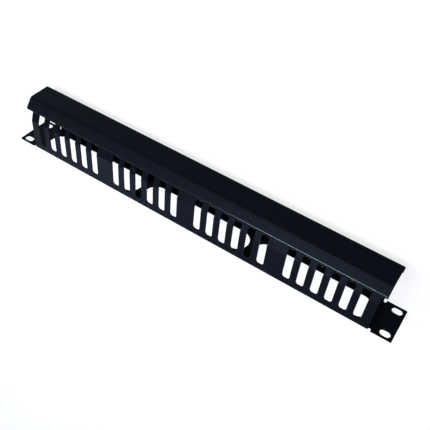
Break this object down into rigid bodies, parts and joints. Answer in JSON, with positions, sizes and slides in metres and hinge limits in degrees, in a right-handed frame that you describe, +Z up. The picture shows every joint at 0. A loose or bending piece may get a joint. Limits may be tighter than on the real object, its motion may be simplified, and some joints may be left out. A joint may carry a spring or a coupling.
{
  "type": "horizontal cable manager",
  "caption": "One-unit rack cable manager: a folded channel with rack ears, combs of open fingers above and below, windows in the back and a clip-on front cover.",
  "frame": {"origin": "centre of the back plate's rear face, which is also the centre of the mounting hole pattern", "axes": "+X along the rack width, +Y out of the rear face towards the rack, -Y towards the cover at the front, +Z up"},
  "size_m": [0.4826, 0.0661, 0.044],
  "materials": {
    "channel_powder_coat": "satin black powder coat",
    "cover_powder_coat": "satin black powder coat"
  },
  "bodies": {
    "channel": {"cable_channel": "channel_powder_coat"},
    "cover": {"front_cover": "cover_powder_coat"}
  },
  "joints": [
    {"name": "cover_pull", "type": "slide", "parent": "channel", "child": "cover", "axis": [0, -1, 0], "range_m": [0, 0.03]}
  ]
}
